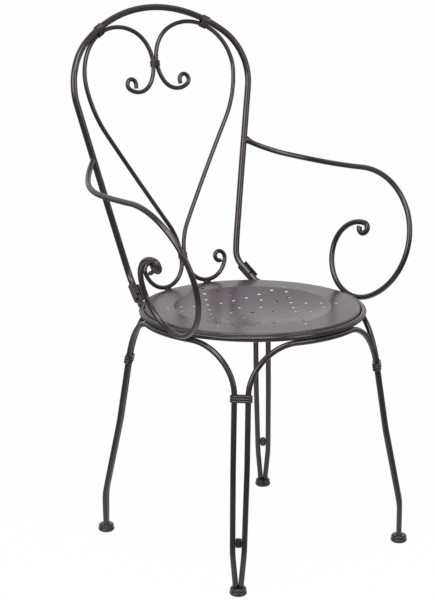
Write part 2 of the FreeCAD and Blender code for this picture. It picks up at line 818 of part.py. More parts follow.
def back_start(kind):
    """The hoop's or the heart's distance behind the chair's axis at the datum."""
    if kind == "hoop":
        return size("ring_radius") + size("hoop_behind")
    return size("ring_radius") - size("heart_ahead")


def on_back(kind, stop):
    """A flat corner of the hoop or the heart, laid on its leaning surface."""
    x, w, heading = stop
    lean = math.radians(size(kind + "_lean"))
    hollow = size(kind + "_hollow")
    point = V(
        x,
        back_start(kind) + w * math.sin(lean) - x * x / hollow,
        size("back_datum") + w * math.cos(lean),
    )
    dx = math.cos(heading)
    dw = math.sin(heading)
    slope = V(dx, dw * math.sin(lean) - 2 * x * dx / hollow, dw * math.cos(lean))
    return point, unit(slope)


def heart_stations():
    """The +X heart rod, from its foot scroll's end to its inner curl's end."""
    half = (size("heart_rod") + size("contact_gap")) / 2
    lean = math.radians(size("heart_lean"))
    rest = pan_top() + size("heart_rod") / 2 + size("contact_gap")
    foot = (rest - size("back_datum")) / math.cos(lean) + size("scroll_bend")
    up = math.radians(90)
    scroll = walk(
        (half, foot),
        -up,
        [
            (size("scroll_bend"), size("scroll_turn")),
            (size("scroll_curl"), size("scroll_curl_turn")),
            (size("scroll_tip"), size("scroll_tip_turn")),
        ],
    )
    rise = [(size("stem_run"), 0), (size("stem_bend"), -size("stem_turn"))]
    lobe = [
        (size("flank_bend"), size("flank_turn")),
        (size("lobe_bend"), size("lobe_turn")),
        (size("dip_bend"), size("dip_turn")),
        (size("curl_bend"), size("curl_turn")),
        (size("curl_tip"), size("curl_tip_turn")),
        (size("curl_end"), 0),
    ]
    # The straight flank is as long as brings the notch to the other rod
    stem = walk((half, foot), up, rise)
    x, w, heading = stem[-1]
    notch_turn = math.radians(270) - heading - math.radians(
        size("flank_turn") + size("lobe_turn")
    )
    trial = walk(
        (x, w), heading, lobe[:2] + [(size("dip_bend"), math.degrees(notch_turn))]
    )
    run = (half - trial[-1][0]) / math.cos(heading)
    notch_w = trial[-1][1] + run * math.sin(heading)
    climb = walk((half, foot), up, rise + [(run, 0)] + lobe)
    back = [(x, w, turn + math.pi) for x, w, turn in reversed(scroll)]
    stops = back[:-1] + climb
    return [on_back("heart", stop) for stop in stops], foot, notch_w


def hoop_stations(top):
    """The +X half of the hoop, from the middle of its top to its end."""
    stops = walk(
        (0, top),
        0,
        [
            (size("hoop_crown"), -size("hoop_crown_turn")),
            (size("hoop_shoulder"), -size("hoop_shoulder_turn")),
            (size("hoop_side"), 0),
        ],
    )
    stations = [on_back("hoop", stop) for stop in stops]
    return stations + [(plug_point(0), plug_axis())]


def plug_axis():
    """Direction of the hoop's straight end, down into its socket."""
    dip = math.radians(size("plug_dip"))
    splay = math.radians(size("plug_splay"))
    flat = math.cos(dip)
    return V(flat * math.sin(splay), -flat * math.cos(splay), -math.sin(dip))


def plug_point(distance):
    """A point of the hoop's straight end, or of the stub that carries on its line."""
    bearing = math.radians(size("stub_bearing"))
    out = size("ring_radius") + size("stub_outset")
    landing = V(out * math.sin(bearing), out * math.cos(bearing), size("ring_level"))
    axis = plug_axis()
    return landing + axis * (distance + size("plug_rise") / axis.z)


def seat_hoop():
    """Raise the hoop's top until the hoop just touches the heart's lobe."""
    wanted = (size("hoop_tube") + size("heart_rod")) / 2 + size("contact_gap")
    heart = path(heart_stations()[0])
    lean = math.radians(size("heart_lean"))
    heart_top = (heart.BoundBox.ZMax - size("back_datum")) / math.cos(lean)

    def too_near(top):
        crown = path(hoop_stations(top)[:3])
        return crown.distToShape(heart)[0] < wanted

    return settle(heart_top, heart_top + size("hoop_crown"), too_near)


def make_hoop(top):
    half = hoop_stations(top)
    half.append((plug_point(size("plug_run")), plug_axis()))
    stations = mirrored(half) + half[1:]
    outer = bar(stations, size("hoop_tube"))
    inner = bar(stations, size("hoop_tube") - 2 * size("tube_wall"))
    add_part("back_hoop", outer.cut(inner))
    return outer


def make_hearts():
    stations, _, _ = heart_stations()
    rod = bar(stations, size("heart_rod"))
    add_part("heart_rod_right", rod)
    add_part("heart_rod_left", other_side(rod))


def bow(half_length, bend):
    """How far a bent rod leaves a straight sleeve's middle line at its ends."""
    return half_length**2 / (2 * bend)


def make_back_bands(top):
    stations, foot, notch = heart_stations()
    rod = size("heart_rod")
    gap = size("contact_gap")
    spread = rod + gap
    lean = math.radians(size("heart_lean"))
    axis = V(0, math.sin(lean), math.cos(lean))
    half = TIE_TURNS * size("tie_pitch") / 2
    drop = size("upper_tie_drop")
    ties = {
        "heart_tie_lower": (foot + size("lower_tie_rise"), bow(half, size("stem_bend"))),
        "heart_tie_upper": (notch - drop, bow(half + drop, size("dip_bend"))),
    }
    for label, (w, slack) in ties.items():
        around = rod / 2 + gap + slack
        sleeve = band("tie", around, around, spread, TIE_TURNS)
        centre, _ = on_back("heart", (-spread / 2, w, 0))
        set_band(label, sleeve, centre, V(1, 0, 0), axis)

    # The collars sit a little above the place where the lobes meet the hoop
    crown = path(hoop_stations(top)[:3])
    heart = path(stations)
    touch = crown.distToShape(heart)[1][0][0]
    rise = size("hoop_collar_rise")
    on_hoop = [p for p in crown.discretize(Distance=CROWN_STEP) if p.z > touch.z]
    on_hoop = min(on_hoop, key=lambda p: abs((p - touch).Length - rise))
    spacing, pairs, _ = heart.distToShape(Part.Vertex(on_hoop))
    on_heart = pairs[0][0]
    along_hoop = tangent_at(crown, on_hoop)
    along_heart = tangent_at(heart, on_heart)
    along_heart *= math.copysign(1, along_heart.dot(along_hoop))
    half = HOOP_BAND_TURNS * size("hoop_pitch") / 2
    skew = half * along_hoop.getAngle(along_heart) / 2
    hoop_slack = gap + skew + bow(half, size("hoop_crown"))
    heart_slack = gap + skew + bow(half, size("lobe_bend"))
    sleeve = band(
        "hoop",
        size("hoop_tube") / 2 + hoop_slack,
        rod / 2 + heart_slack,
        spacing,
        HOOP_BAND_TURNS,
    )
    along = unit(along_hoop + along_heart)
    collar = set_band("hoop_collar_right", sleeve, on_hoop, on_heart - on_hoop, along)
    add_part("hoop_collar_left", other_side(collar.Shape))


def tangent_at(wire, point):
    """Direction of a wire at a point on it."""
    here = Part.Vertex(point)
    edge = min(wire.Edges, key=lambda candidate: candidate.distToShape(here)[0])
    return unit(V(*edge.tangentAt(edge.Curve.parameter(point))))


# Sockets: a channel and a stub from the ring on each side


def socket_frame(side):
    """The channel's own axes: Z up the tube, Y out of the open side."""
    axis = plug_axis() * -1
    start = plug_point(0)
    axis = V(axis.x * side, axis.y, axis.z)
    start = V(start.x * side, start.y, start.z)
    front = V(0, -1, 0)
    open_side = unit(front - axis * front.dot(axis))
    across = open_side.cross(axis)
    turn = FreeCAD.Rotation(across, open_side, axis, "XYZ")
    return FreeCAD.Placement(start, turn)


def make_sockets():
    inner = size("hoop_tube") / 2 + size("contact_gap")
    outer = inner + size("socket_wall")
    lip = size("socket_lip")
    inner_text = "(sizes.hoop_tube / 2 + sizes.contact_gap)"
    outer_text = "(" + inner_text + " + sizes.socket_wall)"
    lip_text = "sizes.socket_lip"
    corners = [
        (outer, lip, outer_text, lip_text),
        (outer, 0, outer_text, None),
        (-outer, 0, "-" + outer_text, None),
        (-outer, lip, "-" + outer_text, lip_text),
        (-inner, lip, "-" + inner_text, lip_text),
        (-inner, 0, "-" + inner_text, None),
        (inner, 0, inner_text, None),
        (inner, lip, inner_text, lip_text),
    ]
    arcs = {1: ((0, -outer), "middle", None), 5: ((0, -inner), "middle", None)}
    for label, side in (("right", 1), ("left", -1)):
        body = new_body("back_socket_" + label)
        section = new_sketch(body, "socket_section_" + label, "XY_Plane")
        offset = "-(sizes.socket_start + sizes.socket_length)"
        section.setExpression("AttachmentOffset.Base.z", offset)
        draw_outline(section, corners, arcs)
        pad = body.newObject("PartDesign::Pad", "socket_pad_" + label)
        pad.Profile = section
        pad.setExpression("Length", "sizes.socket_length")
        body.Placement = socket_frame(side)


def make_stubs():
    """Short tubes from the ring into the sockets, coped round the ring."""
    start = plug_point(size("plug_run") + size("plug_gap"))
    axis = plug_axis()
    ring_level = size("ring_level")
    length = (ring_level - start.z) / axis.z
    outer = Part.makeCylinder(size("hoop_tube") / 2, length, start, axis)
    bore = size("hoop_tube") / 2 - size("tube_wall")
    inner = Part.makeCylinder(bore, length, start, axis)
    cope = size("frame_rod") / 2 + size("contact_gap")
    ring = Part.makeTorus(size("ring_radius"), cope, V(0, 0, ring_level), UP)
    tube = outer.cut(inner).cut(ring)
    stub = max(tube.Solids, key=lambda solid: solid.Volume)
    add_part("back_stub_right", stub)
    add_part("back_stub_left", other_side(stub))


# Arms: bent rods from the hoop's sides to scrolls beside the seat


def arm_axes(flare):
    """Forward and upward directions in the +X arm's leaning plane."""
    splay = math.radians(size("arm_splay"))
    forward = V(math.sin(splay), -math.cos(splay), 0)
    outward = V(math.cos(splay), math.sin(splay), 0)
    up = outward * math.sin(flare) + UP * math.cos(flare)
    return forward, up


def arm_scroll(flare):
    """The arm's stations in its plane, which leans out by that angle."""
    forward, up = arm_axes(flare)
    base = V(size("ring_radius") + size("arm_outset"), 0, size("arm_rest_level"))
    stops = walk(
        (-size("arm_start_back"), 0),
        0,
        [
            (size("arm_rest_bend"), size("arm_rest_turn")),
            (size("arm_drop_bend"), -size("arm_drop_turn")),
            (size("arm_front"), -size("arm_front_turn")),
            (size("arm_under"), -size("arm_under_turn")),
            (size("arm_inner"), -size("arm_inner_turn")),
            (size("arm_curl"), -size("arm_curl_turn")),
        ],
    )
    stations = []
    for ahead, above, heading in stops:
        point = base + forward * ahead + up * above
        course = forward * math.cos(heading) + up * math.sin(heading)
        stations.append((point, unit(course)))
    return stations


def seat_arm():
    """Lean the arm's plane out until its scroll just touches the ring."""
    wanted = size("frame_rod") + size("contact_gap")
    level = V(0, 0, size("ring_level"))
    ring = Part.Wire([Part.Circle(level, UP, size("ring_radius")).toShape()])

    def too_near(flare):
        return path(arm_scroll(flare)).distToShape(ring)[0] < wanted

    return settle(math.radians(MOST_FLARE), 0.0, too_near)


def make_arms(top):
    side = path(hoop_stations(top))
    level = size("arm_level")
    span = 2 * size("ring_radius")
    plate = Part.makePlane(2 * span, 2 * span, V(-span, -span, level))
    leave = side.section(plate).Vertexes[0].Point
    out = math.radians(size("arm_leave_out"))
    dip = math.radians(size("arm_leave_dip"))
    heading = V(
        math.cos(dip) * math.sin(out), -math.cos(dip) * math.cos(out), -math.sin(dip)
    )
    rod = bar([(leave, heading)] + arm_scroll(seat_arm()), size("frame_rod"))
    cope = size("hoop_tube") / 2 + size("contact_gap")
    reach_past = 2 * size("hoop_tube")
    tangent = tangent_at(side, leave)
    start = leave - tangent * reach_past
    hoop = Part.makeCylinder(cope, 2 * reach_past, start, tangent)
    arm = max(rod.cut(hoop).Solids, key=lambda solid: solid.Volume)
    add_part("arm_right", arm)
    add_part("arm_left", other_side(arm))


hoop_top = seat_hoop()
make_seat_pan()
make_seat_ring()
make_leg_arches()
make_leg_collars()
make_spacers()
make_feet()
make_hoop(hoop_top)
make_hearts()
make_back_bands(hoop_top)
make_sockets()
make_stubs()
make_arms(hoop_top)
doc.recompute()

for item in doc.Objects:
    if "Invalid" in item.State or "Error" in item.State:
        raise ValueError(item.Name + " failed: " + str(item.State))
for node in nodes:
    if node.Shape.isNull() or not node.Shape.isValid():
        raise ValueError(node.Label + " has no sound shape")
    if len(node.Shape.Solids) != 1:
        raise ValueError(node.Label + " is not one solid")

os.makedirs("parts", exist_ok=True)
for node in nodes:
    node.Shape.exportStep("parts/" + node.Label + ".step")
    print(node.Label, round(node.Shape.Volume / 1000, 2), "cm3")
print(len(nodes), "pieces; hoop top at", round(hoop_top, 2))
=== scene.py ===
# %% [markdown]
# # A garden armchair of bent steel rod
# Apart from its plastic feet the chair is all metal: a round pressed seat inside
# a ring, four arches for legs, a hoop and two heart scrolls for the back, and two
# scrolled arms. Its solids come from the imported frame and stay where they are.
# This lesson adds what a workshop adds to them: a satin powder coat, the black
# of the moulded feet, and the small weld fillets where one rod meets the next.

# %% Load the frame and keep its size
import json
import math

import bmesh
import bpy
from mathutils import Matrix, Vector, noise
from mathutils.bvhtree import BVHTree


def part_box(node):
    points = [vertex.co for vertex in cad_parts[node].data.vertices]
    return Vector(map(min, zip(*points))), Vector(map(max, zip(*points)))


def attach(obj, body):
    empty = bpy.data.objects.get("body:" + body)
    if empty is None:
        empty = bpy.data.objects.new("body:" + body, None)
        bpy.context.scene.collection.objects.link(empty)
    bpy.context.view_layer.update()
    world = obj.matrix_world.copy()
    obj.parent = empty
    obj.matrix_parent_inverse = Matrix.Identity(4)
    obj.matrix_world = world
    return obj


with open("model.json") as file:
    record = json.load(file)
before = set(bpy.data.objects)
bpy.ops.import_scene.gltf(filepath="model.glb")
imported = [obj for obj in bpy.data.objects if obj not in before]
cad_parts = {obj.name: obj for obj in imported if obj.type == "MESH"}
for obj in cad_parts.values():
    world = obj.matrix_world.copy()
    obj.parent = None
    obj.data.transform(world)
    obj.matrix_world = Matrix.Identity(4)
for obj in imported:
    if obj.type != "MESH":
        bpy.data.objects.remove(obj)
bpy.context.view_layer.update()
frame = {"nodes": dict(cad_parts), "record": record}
nodes = frame["nodes"]

# %% [markdown]
# ## The camera
# The photograph is taken from the front left, a little above the seat, with a
# long lens from over three metres. The camera is put back there with its angle
# round the chair, its angle above the horizon, its distance and a small step
# aside, so that the chair sits in the picture as it does in the photograph.
# The focal length is in pixels of the picture's long side, and is turned into
# millimetres of the lens on a sensor of full frame width.

# %% Place the camera
LONG_SIDE = 600
FOCAL_PIXELS = 1856.14
AZIMUTH = math.radians(-39.206)
ELEVATION = math.radians(14.494)
DISTANCE = 3.34736
LOOK_AT = Vector((0, 0, 0.45))
STEP_RIGHT = -0.06324
STEP_UP = 0.003249
SENSOR_WIDTH = 36
FARTHEST_SEEN = 100

back = Vector((
    math.sin(AZIMUTH) * math.cos(ELEVATION),
    -math.cos(AZIMUTH) * math.cos(ELEVATION),
    math.sin(ELEVATION),
))
right = Vector((math.cos(AZIMUTH), math.sin(AZIMUTH), 0))
up = back.cross(right)
lens = bpy.data.cameras.new("camera")
lens.sensor_width = SENSOR_WIDTH
lens.lens = SENSOR_WIDTH * FOCAL_PIXELS / LONG_SIDE
lens.clip_end = FARTHEST_SEEN
camera = bpy.data.objects.new("camera", lens)
bpy.context.scene.collection.objects.link(camera)
turn = Matrix((right, up, back)).transposed()
camera.matrix_world = Matrix.Translation(
    LOOK_AT + back * DISTANCE + right * STEP_RIGHT + up * STEP_UP
) @ turn.to_4x4()
bpy.context.scene.camera = camera
bpy.context.scene.view_settings.view_transform = "Standard"
camera_place = tuple(round(x, 3) for x in camera.location)
print("lens", round(lens.lens, 1), "mm, camera at", camera_place)

# %% [markdown]
# ## The studio
# A catalogue picture stands the chair on white paper that runs on up into a
# white wall. Light Path makes the ground and the world white where the camera
# looks at them, while the lamps that light the paint stay soft and moderate. A
# small share of plain matt ground keeps the chair's shadow. Reflections see the
# same white near the chair and on the wall behind it. Further off they see a
# dim room, which gives the rods the dark lines beside their highlights.

# %% Masks for the white surroundings
def shader_nodes(tree, **kinds):
    """Add nodes to a tree by name and type."""
    return {name: tree.nodes.new(kind) for name, kind in kinds.items()}


def seen_or_mirrored(tree):
    """A mask of the rays that meet the paper and wall, not the plain light."""
    rays = tree.nodes.new("ShaderNodeLightPath")
    total = rays.outputs["Is Camera Ray"]
    for name in ("Is Glossy Ray", "Is Transmission Ray"):
        either = tree.nodes.new("ShaderNodeMath")
        either.operation = "MAXIMUM"
        tree.links.new(total, either.inputs[0])
        tree.links.new(rays.outputs[name], either.inputs[1])
        total = either.outputs[0]
    return total


def link_range(tree, source, low, high, at_low, at_high):
    """A smooth change from one value to another while source runs over a range."""
    change = tree.nodes.new("ShaderNodeMapRange")
    change.interpolation_type = "SMOOTHSTEP"
    change.inputs["From Min"].default_value = low
    change.inputs["From Max"].default_value = high
    change.inputs["To Min"].default_value = at_low
    change.inputs["To Max"].default_value = at_high
    tree.links.new(source, change.inputs["Value"])
    return change.outputs["Result"]


def combine(tree, operation, first, second):
    """One Math node over two sources."""
    node = tree.nodes.new("ShaderNodeMath")
    node.operation = operation
    tree.links.new(first, node.inputs[0])
    tree.links.new(second, node.inputs[1])
    return node.outputs[0]


print("masks for camera, glossy and transmission rays")

# %% Paint the ground
GROUND_COLOUR = (0.8, 0.8, 0.8, 1)
PAPER_RADIUS = 0.3
ROOM_RADIUS = 0.9
ROOM_GREY = 0.28
SHADOW_SHARE = 0.02

ground_paint = bpy.data.materials.new("ground")
ground_paint.use_nodes = True
tree = ground_paint.node_tree
tree.nodes.clear()
parts = shader_nodes(
    tree,
    matt="ShaderNodeBsdfDiffuse",
    white="ShaderNodeEmission",
    mix="ShaderNodeMixShader",
    share="ShaderNodeMath",
    place="ShaderNodeNewGeometry",
    reach="ShaderNodeVectorMath",
    rays="ShaderNodeLightPath",
    out="ShaderNodeOutputMaterial",
)
parts["matt"].inputs["Color"].default_value = GROUND_COLOUR
parts["share"].operation = "MULTIPLY"
parts["share"].inputs[1].default_value = 1 - SHADOW_SHARE
tree.links.new(seen_or_mirrored(tree), parts["share"].inputs[0])
tree.links.new(parts["share"].outputs[0], parts["mix"].inputs["Fac"])
tree.links.new(parts["matt"].outputs[0], parts["mix"].inputs[1])
tree.links.new(parts["white"].outputs[0], parts["mix"].inputs[2])
tree.links.new(parts["mix"].outputs[0], parts["out"].inputs["Surface"])
parts["reach"].operation = "LENGTH"
tree.links.new(parts["place"].outputs["Position"], parts["reach"].inputs[0])
paper = link_range(
    tree, parts["reach"].outputs["Value"], PAPER_RADIUS, ROOM_RADIUS, 1, ROOM_GREY
)
shown = combine(tree, "MAXIMUM", paper, parts["rays"].outputs["Is Camera Ray"])
tree.links.new(shown, parts["white"].inputs["Strength"])
print("paper fades from", PAPER_RADIUS, "m to the room at", ROOM_RADIUS, "m")

# %% Lay the ground
GROUND_SIZE = 24.0
GROUND_CELLS = 4

ground_mesh = bpy.data.meshes.new("ground")
bm = bmesh.new()
bmesh.ops.create_grid(
    bm, x_segments=GROUND_CELLS, y_segments=GROUND_CELLS, size=GROUND_SIZE / 2
)
bm.to_mesh(ground_mesh)
bm.free()
ground = bpy.data.objects.new("ground", ground_mesh)
ground_mesh.materials.append(ground_paint)
bpy.context.scene.collection.objects.link(ground)
print("ground", GROUND_SIZE, "m wide")

# %% [markdown]
# The wall is white behind the chair and dim overhead and behind the camera. The
# satin seat mirrors the white wall at a low angle, which makes it much lighter
# than the rods, and the dark bands across it are the mirror images of the back.
# The limits of the ceiling are heights on a globe of radius 1 round the chair,
# and those of the wall are distances from its middle, away from the camera.

# %% Paint the wall and the ceiling
FILL_STRENGTH = 0.3
FILL_COLOUR = (0.94, 0.93, 1.0, 1)
WALL_COLOUR = (1, 1, 1, 1)
WALL_TOP = 0.7
CEILING_START = 1.0
ROOM_END = -0.4
WALL_START = 0.35

world = bpy.data.worlds.new("studio")
bpy.context.scene.world = world
world.use_nodes = True
tree = world.node_tree
tree.nodes.clear()
parts = shader_nodes(
    tree,
    place="ShaderNodeTexCoord",
    axes="ShaderNodeSeparateXYZ",
    behind="ShaderNodeVectorMath",
    rays="ShaderNodeLightPath",
    fill="ShaderNodeBackground",
    wall="ShaderNodeBackground",
    mix="ShaderNodeMixShader",
    out="ShaderNodeOutputWorld",
)
parts["behind"].operation = "DOT_PRODUCT"
parts["behind"].inputs[1].default_value = (-math.sin(AZIMUTH), math.cos(AZIMUTH), 0)
direction = parts["place"].outputs["Generated"]
tree.links.new(direction, parts["axes"].inputs[0])
tree.links.new(direction, parts["behind"].inputs[0])
ceiling = link_range(
    tree, parts["axes"].outputs["Z"], WALL_TOP, CEILING_START, 1, ROOM_GREY
)
room = link_range(
    tree, parts["behind"].outputs["Value"], ROOM_END, WALL_START, ROOM_GREY, 1
)
mirrored = combine(tree, "MINIMUM", ceiling, room)
shown = combine(tree, "MAXIMUM", mirrored, parts["rays"].outputs["Is Camera Ray"])
tree.links.new(shown, parts["wall"].inputs["Strength"])
parts["wall"].inputs["Color"].default_value = WALL_COLOUR
parts["fill"].inputs["Color"].default_value = FILL_COLOUR
parts["fill"].inputs["Strength"].default_value = FILL_STRENGTH
tree.links.new(seen_or_mirrored(tree), parts["mix"].inputs["Fac"])
tree.links.new(parts["fill"].outputs[0], parts["mix"].inputs[1])
tree.links.new(parts["wall"].outputs[0], parts["mix"].inputs[2])
tree.links.new(parts["mix"].outputs[0], parts["out"].inputs["Surface"])
print("wall white up to", WALL_TOP, "ceiling from", CEILING_START)

# %% [markdown]
# Two soft boxes stand left and right of the camera, above the height of the
# seat. Each draws a pale streak down the rods of the back and leaves the legs
# dark, as in the photograph. A third box hangs ahead of the chair, for the tops
# of the level rods. The side boxes face level and the top one looks down at the
# chair. Their strengths add up to a plain level of light. Each lamp is given its
# place, its width and height, its power and its tint.

# %% Hang the lamps
LAMPS = {
    "left_box": ((-2.0, -0.4, 1.7), (1.6, 1.6), 42, (1.0, 0.95, 1.0)),
    "right_box": ((0.4, -2.2, 1.7), (0.9, 1.6), 21, (1.0, 0.95, 1.0)),
    "top_box": ((-0.6, -0.8, 2.4), (1.1, 1.1), 28, (1.0, 0.97, 1.0)),
}
for name, (place, (width, height), watts, tint) in LAMPS.items():
    lamp = bpy.data.lights.new(name, "AREA")
    lamp.shape = "RECTANGLE"
    lamp.size = width
    lamp.size_y = height
    lamp.energy = watts
    lamp.color = tint
    holder = bpy.data.objects.new(name, lamp)
    holder.location = place
    aim_height = LOOK_AT.z if name == "top_box" else place[2]
    aim = Vector((0, 0, aim_height)) - Vector(place)
    holder.rotation_euler = aim.to_track_quat("-Z", "Y").to_euler()
    bpy.context.scene.collection.objects.link(holder)
print("lamps", list(LAMPS))

# %% [markdown]
# ## Paint that looks like paint
# Powder coat is sprayed as dust and melted into a skin. That leaves a faint
# orange peel, small changes of tone, a gloss that comes and goes, and a trace
# of pale dust where the surface looks up. The finishes share these effects, so
# each effect is built once, as a group of nodes that every finish uses. The
# first group gives the peel, the tone and fine specks, as numbers from 0 to 1.

# %% Build the grain group
def make_group(name, inputs, outputs):
    """An empty shader node group with float inputs."""
    group = bpy.data.node_groups.new(name, "ShaderNodeTree")
    for socket, value in inputs.items():
        made = group.interface.new_socket(
            socket, in_out="INPUT", socket_type="NodeSocketFloat"
        )
        made.default_value = value
    for socket, kind in outputs.items():
        group.interface.new_socket(socket, in_out="OUTPUT", socket_type=kind)
    return group


NOISE_SCALES = {"peel": "Peel Scale", "tone": "Tone Scale", "speck": "Speck Scale"}
NOISE_DETAIL = {"peel": 2, "tone": 4, "speck": 1}
SPECK_FROM = 0.58
SPECK_FULL = 0.70

grain = make_group(
    "coat_grain",
    {"Peel Scale": 420.0, "Tone Scale": 11.0, "Speck Scale": 1900.0},
    {"Peel": "NodeSocketFloat", "Tone": "NodeSocketFloat", "Speck": "NodeSocketFloat"},
)
parts = shader_nodes(
    grain,
    given="NodeGroupInput",
    place="ShaderNodeTexCoord",
    peel="ShaderNodeTexNoise",
    tone="ShaderNodeTexNoise",
    speck="ShaderNodeTexNoise",
    sharp="ShaderNodeMapRange",
    out="NodeGroupOutput",
)
for name, socket in NOISE_SCALES.items():
    grain.links.new(parts["place"].outputs["Object"], parts[name].inputs["Vector"])
    grain.links.new(parts["given"].outputs[socket], parts[name].inputs["Scale"])
    parts[name].inputs["Detail"].default_value = NOISE_DETAIL[name]
parts["sharp"].inputs["From Min"].default_value = SPECK_FROM
parts["sharp"].inputs["From Max"].default_value = SPECK_FULL
grain.links.new(parts["speck"].outputs["Fac"], parts["sharp"].inputs["Value"])
grain.links.new(parts["peel"].outputs["Fac"], parts["out"].inputs["Peel"])
grain.links.new(parts["tone"].outputs["Fac"], parts["out"].inputs["Tone"])
grain.links.new(parts["sharp"].outputs[0], parts["out"].inputs["Speck"])
print("group", grain.name, [s.name for s in grain.interface.items_tree])

# %% [markdown]
# Dust settles where a surface faces upwards and rain doesn't scrub it. The
# group takes the surface's own upward slope from its normal and breaks it up
# with a coarse noise, so the mask never has a hard edge.

# %% Build the dust group
DUSTY_SLOPE = 0.45
PATCH_DETAIL = 5

dust = make_group(
    "settled_dust",
    {"Patch Scale": 24.0, "Amount": 0.3},
    {"Mask": "NodeSocketFloat"},
)
parts = shader_nodes(
    dust,
    given="NodeGroupInput",
    place="ShaderNodeTexCoord",
    facing="ShaderNodeSeparateXYZ",
    slope="ShaderNodeMapRange",
    patches="ShaderNodeTexNoise",
    broken="ShaderNodeMath",
    scaled="ShaderNodeMath",
    out="NodeGroupOutput",
)
parts["slope"].inputs["From Min"].default_value = DUSTY_SLOPE
for name in ("broken", "scaled"):
    parts[name].operation = "MULTIPLY"
parts["patches"].inputs["Detail"].default_value = PATCH_DETAIL
dust.links.new(parts["place"].outputs["Normal"], parts["facing"].inputs[0])
dust.links.new(parts["facing"].outputs["Z"], parts["slope"].inputs["Value"])
dust.links.new(parts["place"].outputs["Object"], parts["patches"].inputs["Vector"])
dust.links.new(parts["given"].outputs["Patch Scale"], parts["patches"].inputs["Scale"])
dust.links.new(parts["slope"].outputs[0], parts["broken"].inputs[0])
dust.links.new(parts["patches"].outputs["Fac"], parts["broken"].inputs[1])
dust.links.new(parts["broken"].outputs[0], parts["scaled"].inputs[0])
dust.links.new(parts["given"].outputs["Amount"], parts["scaled"].inputs[1])
dust.links.new(parts["scaled"].outputs[0], parts["out"].inputs["Mask"])
print("group", dust.name, [s.name for s in dust.interface.items_tree])

# %% [markdown]
# Each finish has two tones of its colour for the slow changes, and a share of
# dust that is much paler. Its colour comes from the tone of the grain, run
# through a ramp between the two tones, with the dust mixed in last.

# %% Give a finish its colour
DUST_COLOUR = (0.20, 0.185, 0.18, 1)
DARK_TONE_AT = 0.36
LIGHT_TONE_AT = 0.66
# A Mix node's number and colour sockets share their names, so these are places
MIX_FIRST = 6
MIX_SECOND = 7
MIX_RESULT = 2


def colour_coat(tree, skin, dark, light, dusty):
    """Slow changes between two tones, with settled dust over them."""
    parts = shader_nodes(
        tree,
        settled="ShaderNodeGroup",
        tones="ShaderNodeValToRGB",
        dusted="ShaderNodeMix",
    )
    parts["settled"].node_tree = dust
    parts["settled"].inputs["Amount"].default_value = dusty
    ramp = parts["tones"].color_ramp
    ramp.elements[0].position = DARK_TONE_AT
    ramp.elements[0].color = (*dark, 1)
    ramp.elements[1].position = LIGHT_TONE_AT
    ramp.elements[1].color = (*light, 1)
    tree.links.new(skin.outputs["Tone"], parts["tones"].inputs["Fac"])
    parts["dusted"].data_type = "RGBA"
    sockets = parts["dusted"].inputs
    tree.links.new(parts["settled"].outputs["Mask"], sockets["Factor"])
    tree.links.new(parts["tones"].outputs["Color"], sockets[MIX_FIRST])
    sockets[MIX_SECOND].default_value = DUST_COLOUR
    return parts["dusted"].outputs[MIX_RESULT]


print("colour from tones at", DARK_TONE_AT, "and", LIGHT_TONE_AT)

# %% [markdown]
# The gloss comes and goes with the tone, between a roughness less and more its
# spread, and specks are duller. The relief is the orange peel, about a hundredth
# of a millimetre deep, with specks that stand a little proud. Both are slight,
# so that a rod's narrow streak of light stays in one piece.

# %% Give a finish its gloss and its relief
GLOSS_FROM = 0.3
GLOSS_TO = 0.7
SPECK_DULLS = 0.25
SPECK_STANDS = 0.25


def gloss_coat(tree, skin, rough, spread):
    """A roughness that changes with the tone and rises in specks."""
    parts = shader_nodes(tree, gloss="ShaderNodeMapRange", dulled="ShaderNodeMath")
    parts["gloss"].inputs["From Min"].default_value = GLOSS_FROM
    parts["gloss"].inputs["From Max"].default_value = GLOSS_TO
    parts["gloss"].inputs["To Min"].default_value = rough - spread
    parts["gloss"].inputs["To Max"].default_value = rough + spread
    tree.links.new(skin.outputs["Tone"], parts["gloss"].inputs["Value"])
    parts["dulled"].operation = "MULTIPLY_ADD"
    parts["dulled"].inputs[1].default_value = SPECK_DULLS
    tree.links.new(skin.outputs["Speck"], parts["dulled"].inputs[0])
    tree.links.new(parts["gloss"].outputs["Result"], parts["dulled"].inputs[2])
    return parts["dulled"].outputs[0]


def peel_coat(tree, skin, depth):
    """The normals of the orange peel and its specks."""
    parts = shader_nodes(tree, relief="ShaderNodeMath", bump="ShaderNodeBump")
    parts["relief"].operation = "MULTIPLY_ADD"
    parts["relief"].inputs[1].default_value = SPECK_STANDS
    tree.links.new(skin.outputs["Speck"], parts["relief"].inputs[0])
    tree.links.new(skin.outputs["Peel"], parts["relief"].inputs[2])
    parts["bump"].inputs["Distance"].default_value = depth
    tree.links.new(parts["relief"].outputs[0], parts["bump"].inputs["Height"])
    return parts["bump"].outputs["Normal"]


print("specks dull the gloss by", SPECK_DULLS)

# %% [markdown]
# A value that is the same all over a finish, such as its specular level, is set
# on the shader itself, where it is easy to find and survives an export. The
# frame and the seat wear the same warm near-black steel paint. The seat's tones
# are painted lighter, as painted light on its upturned dish.
# The feet are a rougher black plastic.

# %% Put a finish together
SHEEN_TINT = (1.0, 0.92, 0.97, 1)


def coat(name, dark, light, rough, spread, peel, specular, dusty):
    """A coated or moulded finish with changing tone, gloss and peel."""
    paint = bpy.data.materials.new(name)
    paint.use_nodes = True
    tree = paint.node_tree
    skin = tree.nodes.new("ShaderNodeGroup")
    skin.node_tree = grain
    body = tree.nodes["Principled BSDF"]
    body.inputs["Specular IOR Level"].default_value = specular
    body.inputs["Specular Tint"].default_value = SHEEN_TINT
    colour = colour_coat(tree, skin, dark, light, dusty)
    tree.links.new(colour, body.inputs["Base Color"])
    tree.links.new(gloss_coat(tree, skin, rough, spread), body.inputs["Roughness"])
    tree.links.new(peel_coat(tree, skin, peel), body.inputs["Normal"])
    return paint


print("finishes share", grain.name, "and", dust.name)

